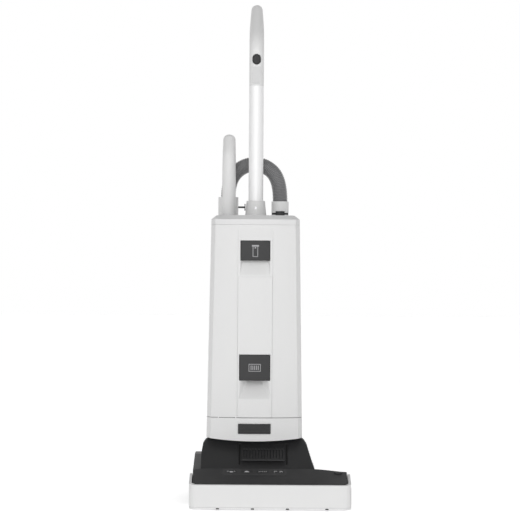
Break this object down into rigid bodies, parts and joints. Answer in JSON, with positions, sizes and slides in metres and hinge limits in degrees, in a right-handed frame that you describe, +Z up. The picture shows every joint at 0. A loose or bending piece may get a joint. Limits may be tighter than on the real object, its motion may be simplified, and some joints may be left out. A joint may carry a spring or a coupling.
{
  "type": "upright vacuum cleaner",
  "caption": "Upright vacuum cleaner: wide floor head with a driven brush, tall bag housing that leans back, bent handle tube, hose arch and lift-out hand wand.",
  "frame": {"origin": "on the floor, under the middle of the machine's overall width and depth", "axes": "+Z up the handle, -Y the way the floor head faces, +X to the right as seen from the front"},
  "size_m": [0.37, 0.35, 1.1876],
  "materials": {
    "shell_light": "satin moulded plastic, light grey-white",
    "cap_light": "satin moulded plastic, a shade darker than the housing",
    "dark_plastic": "fine-grained moulded plastic, charcoal",
    "structure_plastic": "plain moulded plastic, dark grey",
    "sole_metal": "brushed sheet",
    "steel": "turned steel",
    "bush_plastic": "natural bearing plastic",
    "lens": "smoked glossy lens",
    "board": "circuit board",
    "bristle": "stiff nylon bristle",
    "rubber_black": "moulded rubber",
    "tyre": "soft grey-black tread",
    "stator_iron": "laminated core with windings",
    "bag_fleece": "white fleece bag",
    "filter_media": "pleated filter media",
    "tube_metal": "satin anodised",
    "hose_plastic": "ribbed hose, dark grey"
  },
  "bodies": {
    "head": {"head_chassis": "structure_plastic", "soleplate": "sole_metal", "sole_screws": "steel", "bumper": "shell_light", "head_cover": "dark_plastic", "cover_grille": "dark_plastic", "indicator_panel": "dark_plastic", "indicator_lenses": "lens", "indicator_board": "board", "brush_bearings": "steel", "drive_belt": "rubber_black", "belt_cover": "dark_plastic", "axle_pins": "steel", "suction_duct": "dark_plastic", "tilt_bushes": "bush_plastic"},
    "brush": {"brush_roller": "steel", "brush_bristles": "bristle"},
    "brush_hatch": {"brush_cover": "shell_light"},
    "brush_release": {"brush_button": "dark_plastic"},
    "wheel_left": {"wheel_hub_left": "structure_plastic", "wheel_tyre_left": "tyre"},
    "wheel_right": {"wheel_hub_right": "structure_plastic", "wheel_tyre_right": "tyre"},
    "rollers": {"front_rollers": "bush_plastic"},
    "pedal": {"foot_pedal": "dark_plastic"},
    "housing": {"motor_housing": "structure_plastic", "motor_stator": "stator_iron", "motor_bearings": "steel", "swivel_duct": "dark_plastic", "body_base": "shell_light", "vent_window": "dark_plastic", "rear_housing": "shell_light", "door_seal": "rubber_black", "dust_bag": "bag_fleece", "bag_collar": "structure_plastic", "motor_filter": "filter_media", "duct_seals": "rubber_black", "top_cap": "cap_light", "handle_socket": "shell_light", "handle_bolt": "steel", "handle_tube": "tube_metal", "handle_grip": "shell_light", "cord_hook_lower": "dark_plastic", "hose_cuff": "shell_light", "hose": "hose_plastic", "wand_retainer": "dark_plastic"},
    "motor": {"motor_rotor": "steel", "motor_fan": "structure_plastic", "motor_pinion": "structure_plastic"},
    "door": {"bag_door": "shell_light", "exhaust_filter": "filter_media"},
    "door_latch": {"bag_latch": "dark_plastic"},
    "filter_hatch": {"filter_cover": "shell_light"},
    "filter_flap": {"filter_latch": "dark_plastic"},
    "switch": {"power_switch": "dark_plastic"},
    "upper_hook": {"cord_hook_upper": "dark_plastic"},
    "hose_release": {"hose_button": "dark_plastic"},
    "wand": {"wand_tube": "tube_metal", "wand_cuff": "shell_light", "wand_grip": "shell_light"}
  },
  "joints": [
    {"name": "body_tilt", "type": "hinge", "parent": "head", "child": "housing", "pos_m": [-0.037, 0.07, 0.088], "axis": [-1, 0, 0], "range_deg": [0, 80]},
    {"name": "brush_spin", "type": "hinge", "parent": "head", "child": "brush", "pos_m": [-0.0035, -0.136, 0.0285], "axis": [1, 0, 0], "continuous": true},
    {"name": "motor_spin", "type": "hinge", "parent": "housing", "child": "motor", "pos_m": [-0.037, 0.07, 0.088], "axis": [1, 0, 0], "continuous": true},
    {"name": "wheel_left_spin", "type": "hinge", "parent": "head", "child": "wheel_left", "pos_m": [-0.1665, 0.135, 0.04], "axis": [1, 0, 0], "continuous": true},
    {"name": "wheel_right_spin", "type": "hinge", "parent": "head", "child": "wheel_right", "pos_m": [0.0925, 0.135, 0.04], "axis": [1, 0, 0], "continuous": true},
    {"name": "front_roller_spin", "type": "hinge", "parent": "head", "child": "rollers", "pos_m": [-0.037, -0.084, 0.009], "axis": [1, 0, 0], "continuous": true},
    {"name": "brush_cover_slide", "type": "slide", "parent": "head", "child": "brush_hatch", "axis": [1, 0, 0], "range_m": [0, 0.03]},
    {"name": "brush_button_press", "type": "slide", "parent": "head", "child": "brush_release", "axis": [0, 0, -1], "range_m": [0, 0.002], "stiffness_N_per_m": 400},
    {"name": "pedal_press", "type": "hinge", "parent": "head", "child": "pedal", "pos_m": [-0.1665, 0.098, 0.099], "axis": [-1, 0, 0], "range_deg": [0, 8], "stiffness_Nm_per_rad": 1.5, "springref_deg": -5.73},
    {"name": "door_swing", "type": "hinge", "parent": "housing", "child": "door", "pos_m": [-0.037, -0.051, 0.2015], "axis": [1, 0, 0], "range_deg": [0, 55]},
    {"name": "latch_pull", "type": "hinge", "parent": "door", "child": "door_latch", "pos_m": [-0.037, -0.05, 0.6114], "axis": [-1, 0, 0], "range_deg": [0, 25], "stiffness_Nm_per_rad": 0.3, "springref_deg": -2.86},
    {"name": "filter_cover_pull", "type": "slide", "parent": "door", "child": "filter_hatch", "axis": [0, -1, 0], "range_m": [0, 0.03]},
    {"name": "filter_latch_pull", "type": "hinge", "parent": "filter_hatch", "child": "filter_flap", "pos_m": [-0.037, -0.05, 0.3444], "axis": [-1, 0, 0], "range_deg": [0, 25], "stiffness_Nm_per_rad": 0.3, "springref_deg": -2.86},
    {"name": "switch_press", "type": "slide", "parent": "housing", "child": "switch", "axis": [0, 1, 0], "range_m": [0, 0.002], "stiffness_N_per_m": 500},
    {"name": "hook_swivel", "type": "hinge", "parent": "housing", "child": "upper_hook", "pos_m": [-0.037, 0.065, 1.008], "axis": [0, 1, 0], "range_deg": [0, 180]},
    {"name": "hose_button_press", "type": "slide", "parent": "housing", "child": "hose_release", "axis": [0, 1, 0], "range_m": [0, 0.001], "stiffness_N_per_m": 400},
    {"name": "wand_lift", "type": "slide", "parent": "housing", "child": "wand", "axis": [0, 0, 1], "range_m": [0, 0.16], "deforming": ["hose"]}
  ],
  "couplings": [
    {"joint": "motor_spin", "follows": "brush_spin", "ratio": 1.5}
  ]
}
